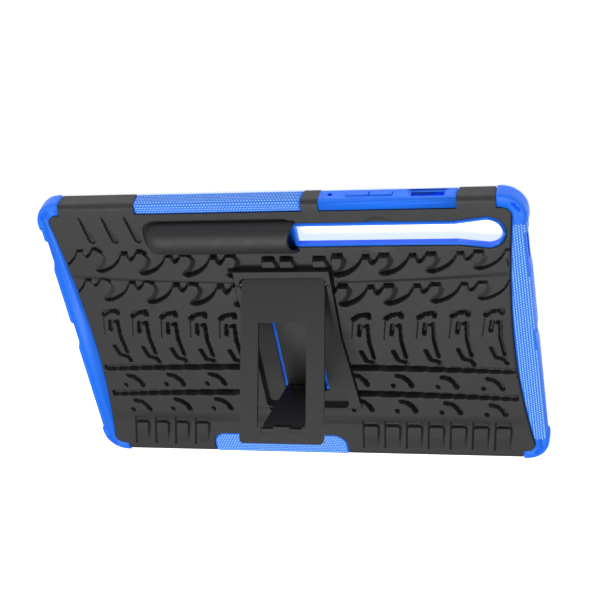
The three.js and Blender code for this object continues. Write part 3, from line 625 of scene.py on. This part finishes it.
def relief(x_values, y_values, region, height, floor):
    """Points, faces and mask of a relief: a snapped grid, its faces inside the region and walls."""
    x, y = np.meshgrid(x_values, y_values)
    distance = region(x, y)
    nudge = 0.05
    slope_x = (region(x + nudge, y) - region(x - nudge, y)) / (2 * nudge)
    slope_y = (region(x, y + nudge) - region(x, y - nudge)) / (2 * nudge)
    steep = np.maximum(slope_x ** 2 + slope_y ** 2, 0.25)
    near = np.abs(distance) < STEP * 0.5
    x = np.where(near, x - distance * slope_x / steep, x)
    y = np.where(near, y - distance * slope_y / steep, y)
    inside = near | (distance > 0)
    faces = grid_faces(*x.shape)
    faces = faces[inside.ravel()[faces].all(axis=1)]
    z, mask = height(x, y)
    top = np.stack([x, y, z], -1).reshape(-1, 3)
    used, faces = np.unique(faces, return_inverse=True)
    faces = faces.reshape(-1, 4)
    top = top[used]
    start, end = faces.ravel(), np.roll(faces, -1, axis=1).ravel()
    count = len(top)
    forward, backward = start * count + end, end * count + start
    open_edge = ~np.isin(forward, backward)
    start, end = start[open_edge], end[open_edge]
    bottom = top.copy()
    bottom[:, 2] = floor
    walls = np.stack([start, start + count, end + count, end], -1)
    mask = mask.ravel()[used]
    return drop_unused(np.vstack([top, bottom]), np.vstack([faces, walls]), np.hstack([mask, 0 * mask]))


def drop_unused(points, faces, mask):
    """The same mesh and mask without points that no face uses."""
    used, faces = np.unique(faces, return_inverse=True)
    return points[used], faces.reshape(-1, 4), mask[used]


shell_span = HALF_LENGTH - 5.0
row_step = 2 * SHELL_EDGE_Y / round(2 * SHELL_EDGE_Y / STEP)
rows = np.arange(-SHELL_EDGE_Y, SHELL_EDGE_Y + STEP / 2, row_step)
column_step = 2 * shell_span / round(2 * shell_span / STEP)
columns = np.arange(-shell_span, shell_span + STEP, column_step)
third = len(columns) // 3
for number, name in enumerate(("shell_back_left", "shell_back_middle", "shell_back_right")):
    first = number * third
    last = first + third + 1 if number < 2 else len(columns)
    points, faces, mask = relief(columns[first:last], rows, shell_region, shell_surface, SHELL_UNDER)
    part = make_piece(name, points, faces, "shell", shell_plastic, "hard_shell", mask=mask)
    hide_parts("outer_shell")
    print(name, 2 * len(faces), "triangles")

# %% [markdown]
# The underside only has to close the shell where it lifts off the tray, so it is one flat
# sheet on a coarse grid with the same outline and holes.

# %% Shell underside


def flat_underside(x, y):
    """The underside's level height, with no groove in it."""
    return np.full(x.shape, SHELL_UNDER), np.zeros(x.shape)


coarse_x = np.arange(-shell_span, shell_span + 1, 1.0)
coarse_y = np.linspace(-SHELL_EDGE_Y, SHELL_EDGE_Y, 163)
points, faces, mask = relief(coarse_x, coarse_y, shell_region, flat_underside, SHELL_UNDER - 1)
level = (points[faces][:, :, 2] == SHELL_UNDER).all(axis=1)
points, faces, mask = drop_unused(points, faces[level][:, ::-1], mask)
make_piece("shell_underside", points, faces, "shell", shell_plastic, "hard_shell", mask=mask)

# %% [markdown]
# Five tabs wrap the shell over the tray's long edges. Each is a section in the upright plane,
# a hook of even thickness with a round outer corner, carried along the edge.

# %% Edge tabs


def tab_section(side, count=9):
    """Points of a tab's hooked section: over the top, round the corner, down, and back inside."""
    round_outer, thick, lift = 3.4, 1.5, 0.5
    angle = np.linspace(0, math.pi / 2, count)
    outer_y = HALF_WIDTH - round_outer + round_outer * np.sin(angle)
    outer_z = GROUND - round_outer + round_outer * np.cos(angle)
    inner_y = HALF_WIDTH - round_outer + (round_outer - thick) * np.sin(angle[::-1])
    inner_z = GROUND - round_outer + (round_outer - thick) * np.cos(angle[::-1])
    y = np.concatenate([[SHELL_EDGE_Y], outer_y, [HALF_WIDTH, HALF_WIDTH - 0.4],
                        [HALF_WIDTH - thick + 0.3, HALF_WIDTH - thick], inner_y, [SHELL_EDGE_Y]])
    z = np.concatenate([[GROUND], outer_z, [lift + 0.4, lift], [lift, lift + 0.4], inner_z,
                        [SHELL_UNDER + 0.4]])
    return side * y, z


def tab(side, start, end, lean_start, lean_end):
    """One tab: the section carried from start to end, its ends slanting outwards as it goes down."""
    y, z = tab_section(side)
    steps = np.linspace(0, 1, 24)[:, None]
    down = np.clip((GROUND - z) / 8, 0, 1)[None]
    x = (start + lean_start * down) * (1 - steps) + (end + lean_end * down) * steps
    points = np.stack([x, np.broadcast_to(y, x.shape), np.broadcast_to(z, x.shape)], -1).reshape(-1, 3)
    faces = grid_faces(len(steps), len(y), around=True)
    caps = []
    for row in (0, len(steps) - 1):
        ring = np.arange(len(y)) + row * len(y)
        half = len(y) // 2
        back = ring[::-1]
        pairs = np.stack([ring[:half - 1], ring[1:half], back[1:half], back[:half - 1]], -1)
        caps.append(pairs if (row == 0) == (side < 0) else pairs[:, ::-1])
    faces = faces if side < 0 else faces[:, ::-1]
    return points, np.vstack([faces[:, ::-1], *[cap[:, ::-1] for cap in caps]])


def joined(parts):
    """Several meshes as one, with each one's faces moved on past the points before it."""
    points, faces, offset = [], [], 0
    for part in parts:
        points.append(part[0])
        faces.append(np.asarray(part[1]) + offset)
        offset += len(part[0])
    return np.vstack(points), np.vstack(faces)


TAB_END = HALF_LENGTH - 14
tabs = [
    tab(1, -TAB_END, -74.0, 0.5, -0.6), tab(1, 17.2, 26.1, 0.5, 0.4), tab(1, 97.5, TAB_END, 0.5, -0.5),
    tab(-1, -TAB_END, -62.7, 0.5, 0.0), tab(-1, 17.6, TAB_END, 0.0, -0.5),
]
make_piece("shell_edge_tabs", *joined(tabs), "shell", shell_plastic, "hard_shell", 40)

# %% [markdown]
# The pen sleeve is a half-round tunnel with an open mouth and a rounded closed end.
# Its section is half a circle with an inner and an outer face, carried along the shell. At the
# closed end the faces come down along a quarter ellipse, and the corners of the end are rounded
# in plan. The mouth is cut back at its crown, so that a pen is easy to grip.

# %% Pen sleeve


def sleeve_face(radius, start, end, dome, columns=33, rows_along=34):
    """A half-round tunnel: x goes along it and y, z round a half circle. Near the closed end the
    height falls by an ellipse and the width by a rounded corner; the mouth is drawn back in the
    middle by a share of the height."""
    angle = np.linspace(0, math.pi, columns)[None]
    quarter = np.linspace(0, math.pi / 2, 14)[:, None]
    level = np.linspace(start + dome, end, rows_along)[1:, None]
    x = np.vstack([start + dome * (1 - np.cos(quarter)), level])
    straight = np.ones((rows_along - 1, 1))
    rise = np.vstack([np.sin(quarter), straight])
    width = np.vstack([0.3 + 0.7 * np.sin(quarter), straight])
    y = PEN_Y - radius * width * np.cos(angle)
    z = GROOVE_FLOOR + radius * rise * np.sin(angle)
    near_mouth = np.clip((x - end + 12) / 12, 0, 1)
    x = x - 3.4 * near_mouth * np.sin(angle) ** 1.5
    return np.stack([np.broadcast_to(x, y.shape), y, z], -1)


outer = sleeve_face(SLEEVE_RADIUS, -71.0, SLEEVE_END, 8.6)
inner = sleeve_face(SLEEVE_BORE, -69.5, SLEEVE_END, 7.4)[:, ::-1]
ring = np.concatenate([outer, inner], axis=1)
mouth = ring[-1:].copy()
span = outer.shape[1]
shrink = np.where(np.arange(2 * span) < span, 9.2 / SLEEVE_RADIUS, 8.5 / SLEEVE_BORE)[None]
mouth[..., 1] = PEN_Y + (mouth[..., 1] - PEN_Y) * shrink
mouth[..., 2] = GROOVE_FLOOR + (mouth[..., 2] - GROOVE_FLOOR) * shrink
mouth[..., 0] += 0.45
ring = np.concatenate([ring, mouth], axis=0)
faces = grid_faces(ring.shape[0], ring.shape[1], around=True)
over = np.arange(span - 1)
caps = []
for first in (0, (ring.shape[0] - 1) * ring.shape[1]):
    last = first + 2 * span - 1
    cap = np.stack([first + over, first + over + 1, last - 1 - over, last - over], -1)
    caps.append(cap if first else cap[:, ::-1])
make_piece("pen_sleeve", ring.reshape(-1, 3), np.vstack([faces, *caps]), "shell", sleeve_shaded_plastic,
           "hard_shell", 60)

# %% [markdown]
# The strut turns on a short pin held by two small eyes that stand on the recess floor.
# Each eye is a washer with a foot, a closed ring of section points carried across its width.

# %% Strut eyes


def eye(x0, x1, centre_y, centre_z, radius, bore):
    """A round eye with a flat foot, as an outer and an inner loop carried across its width."""
    angle = np.linspace(0, 2 * math.pi, 33)[:-1]
    outer_y = centre_y + radius * np.cos(angle)
    outer_z = centre_z + radius * np.sin(angle)
    below = outer_z < centre_z
    foot_y = centre_y + radius * np.clip(1.6 * np.cos(angle), -1, 1)
    foot_z = np.maximum(centre_z + 1.6 * radius * np.sin(angle), RECESS_FLOOR - 0.1)
    outer_y, outer_z = np.where(below, foot_y, outer_y), np.where(below, foot_z, outer_z)
    inner_y, inner_z = centre_y + bore * np.cos(angle), centre_z + bore * np.sin(angle)
    loops = [(x0, outer_y, outer_z), (x1, outer_y, outer_z), (x1, inner_y, inner_z), (x0, inner_y, inner_z)]
    points = np.stack([np.stack([np.full(32, x), y, z], -1) for x, y, z in loops])
    index = np.arange(4 * 32).reshape(4, 32)
    index = np.vstack([index, index[:1]])
    index = np.hstack([index, index[:, :1]])
    faces = np.stack([index[:-1, :-1], index[:-1, 1:], index[1:, 1:], index[1:, :-1]], -1).reshape(-1, 4)
    return points.reshape(-1, 3), faces


brace_pin_low, brace_pin_high = (1000 * np.array(corner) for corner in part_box("brace_hinge_pin"))
strut_y, strut_z = (brace_pin_low[1:] + brace_pin_high[1:]) / 2
eyes = [eye(STAND_X + a, STAND_X + b, strut_y, strut_z, 1.6, 1.0) for a, b in ((-7.5, -4.0), (4.0, 7.5))]
make_piece("strut_eyes", *joined(eyes), "shell", shell_plastic, "hard_shell", 40)

# %% [markdown]
# The tray's grips are moulded with rows of small staggered cushions, which give the thumb a
# hold. Each grip is a skin a few tenths of a millimetre over the tray: its cushions are a sum
# of two waves, shifted by half a step on every other row, at a real pitch of 1.6 mm.

# %% Grip texture
CUSHION_PITCH = 1.6
CUSHION_RISE = 0.36
SHOULDER_ROUND = 2.2


def cushions(along, across):
    """Height of staggered cushions, 0 in the valleys to 1 on the tops: two crossed waves, shifted
    by half a step on every other row and flattened at the tops."""
    row = across / (CUSHION_PITCH * 0.85)
    shift = (np.floor(row) % 2) * 0.5
    wave_along = np.cos(2 * math.pi * (along / CUSHION_PITCH + shift))
    wave_across = np.cos(2 * math.pi * (row % 1.0 - 0.5))
    return smooth_step(-0.35, 0.75, 0.5 * wave_along + 0.6 * wave_across)


def edge_grip(start, end, top_y):
    """A skin along the key edge: over the shoulder, round its corner and down the side."""
    arc = SHOULDER_ROUND * math.pi / 2
    length = HALF_WIDTH - SHOULDER_ROUND - top_y
    path = np.arange(0, length + arc + 7.2, 0.22)
    turn = np.clip((path - length) / SHOULDER_ROUND, 0, math.pi / 2)
    y = top_y + np.minimum(path, length) + SHOULDER_ROUND * np.sin(turn)
    z = TRAY_SHOULDER - SHOULDER_ROUND * (1 - np.cos(turn)) - np.maximum(path - length - arc, 0)
    along = np.arange(start, end, 0.27)
    x, path_grid = np.meshgrid(along, path)
    tops = cushions(x, path_grid)
    fade = smooth_step(0, 1.0, np.minimum(x - start, end - x)) * smooth_step(0, 0.8, path_grid)
    fade = fade * smooth_step(0, 1.0, path[-1] - path_grid)
    rise = (0.1 + CUSHION_RISE * tops) * fade - 0.05 * (1 - fade)
    out_y = y[:, None] + rise * np.sin(turn)[:, None]
    out_z = z[:, None] + rise * np.cos(turn)[:, None]
    points = np.stack([x, out_y, out_z], -1).reshape(-1, 3)
    faces = grid_faces(len(path), len(along))
    # The returned mask is a painted highlight: a paler colour on the cushion tops.
    return points, faces[:, ::-1], (0.8 * tops ** 2 * fade).ravel()


points, faces, mask = edge_grip(-73.4, 16.6, SHELL_EDGE_Y + 0.4)
make_piece("grip_key_edge", points, faces, "tray", grip_blue, "soft_tpu", 80, mask)


def flat_grip(x_values, y_values, region, round_from, axis):
    """A skin over a flat stretch of the tray: cushions that fade out at the region's edge."""
    x, y = np.meshgrid(x_values, y_values)
    distance = region(x, y)
    inside = distance > -0.2
    fade = smooth_step(0, 0.4, distance)
    tops = cushions(y if axis == 0 else x, x if axis == 0 else y)
    rise = 0.05 + CUSHION_RISE * tops
    over = np.maximum((np.abs(x) if axis == 0 else np.abs(y)) - round_from, 0)
    drop = SHOULDER_ROUND - np.sqrt(np.maximum(SHOULDER_ROUND ** 2 - over ** 2, 0))
    z = TRAY_SHOULDER - drop + rise * fade - 0.1 * (1 - fade)
    faces = grid_faces(*x.shape)
    faces = faces[inside.ravel()[faces].all(axis=1)]
    # The returned mask is a painted highlight: a paler colour on the cushion tops.
    return drop_unused(np.stack([x, y, z], -1).reshape(-1, 3), faces, (tops ** 2 * fade).ravel())


def side_region(x, y):
    """Distance in from the edges of the right-hand grip: the waist, the outer edge and two cut-outs."""
    band = np.minimum(x - waist(y) - 0.6, HALF_LENGTH - 0.25 - x)
    ends = np.minimum(71.0 - y, y + 72.6)
    speaker = to_rounded_box(x, y, HALF_LENGTH - 1.2, HALF_LENGTH + 4, 38.6, 65.2, 0.5)
    notch = to_rounded_box(x, y, HALF_LENGTH - 1.2, HALF_LENGTH + 4, -9.4, 4.2, 0.5)
    return np.minimum.reduce([band, ends, speaker, notch])


across_right, along_right = np.arange(117.0, 131.0, 0.25), np.arange(-73.0, 71.4, 0.25)
points, faces, mask = flat_grip(across_right, along_right, side_region, HALF_LENGTH - SHOULDER_ROUND, 0)
make_piece("grip_right_side", points, faces, "tray", grip_blue, "soft_tpu", 80, mask)


def lower_region(x, y):
    """Distance in from the edges of the lower grip, a rounded tongue that reaches the long edge."""
    tongue = -to_rounded_box(x, y, -61.8, 16.7, -HALF_WIDTH - 16, -HALF_WIDTH + 14.1, 7.4)
    return np.minimum(tongue, y + HALF_WIDTH - 0.3)


along_lower, across_lower = np.arange(-62.5, 17.5, 0.25), np.arange(-86.9, -72.0, 0.25)
points, faces, mask = flat_grip(along_lower, across_lower, lower_region, HALF_WIDTH - SHOULDER_ROUND, 1)
make_piece("grip_lower_edge", points, faces, "tray", grip_blue, "soft_tpu", 80, mask)

# %% [markdown]
# The case lies on a plain pale floor under a soft studio light. One large panel hangs almost
# straight overhead, which lights every level face and the leaning kickstand alike and leaves
# upright walls in shade, so the tread reads clearly. A weak panel fills in from the left.
# The floor glows faintly, as a lit table does, which keeps the shadows on it soft.

# %% Floor and light


def floor_sheet(size, height):
    """A flat square sheet under the case."""
    mesh = bpy.data.meshes.new("floor")
    corner = size / 2
    mesh.from_pydata([(-corner, -corner, height), (corner, -corner, height), (corner, corner, height),
                      (-corner, corner, height)], [], [(0, 1, 2, 3)])
    floor = bpy.data.objects.new("floor", mesh)
    bpy.context.scene.collection.objects.link(floor)
    material = bpy.data.materials.new("pale_floor")
    material.use_nodes = True
    shader = material.node_tree.nodes["Principled BSDF"]
    shader.inputs["Base Color"].default_value = colour("f6f6f6")
    shader.inputs["Roughness"].default_value = 0.8
    shader.inputs["Emission Color"].default_value = colour("ffffff")
    shader.inputs["Emission Strength"].default_value = 0.7
    mesh.materials.append(material)


def panel(name, place, target, size, power):
    """A square area light that faces a point."""
    light = bpy.data.lights.new(name, "AREA")
    light.size = size
    light.energy = power
    lamp = bpy.data.objects.new(name, light)
    bpy.context.scene.collection.objects.link(lamp)
    direction = np.array(place) - np.array(target)
    lamp.rotation_mode = "QUATERNION"
    lamp.rotation_quaternion = Vector(direction).to_track_quat("Z", "Y")
    lamp.location = place


floor_sheet(6.0, float(cad_low[2]) - 0.0002)
panel("key_panel", (-0.1, -0.05, 1.6), (0, 0, 0), 0.9, 22)
panel("side_panel", (-1.2, 0.2, 0.9), (0, 0, 0), 0.8, 2)
world = bpy.data.worlds.new("studio")
bpy.context.scene.world = world
world.use_nodes = True
world.node_tree.nodes["Background"].inputs["Color"].default_value = (1.0, 1.0, 1.0, 1.0)
world.node_tree.nodes["Background"].inputs["Strength"].default_value = 0.24
bpy.context.scene.view_settings.view_transform = "Standard"

# %% [markdown]
# The camera stands off the case's key edge and looks down on its back, a little from the right.
# Its three axes are written out as the columns of its matrix.

# %% Camera
lens = bpy.data.cameras.new("camera")
lens.lens = 93.21
lens.sensor_width = 36.0
camera = bpy.data.objects.new("camera", lens)
bpy.context.scene.collection.objects.link(camera)
right = (0.96349974, -0.164475, -0.21122553)
up = (0.00333966, 0.79633412, -0.60484776)
back = (0.26768844, 0.58206523, 0.76781701)
place = (0.22881, 0.50713, 0.64792)
camera.matrix_world = Matrix([*zip(right, up, back, place), (0, 0, 0, 1)])
bpy.context.scene.camera = camera
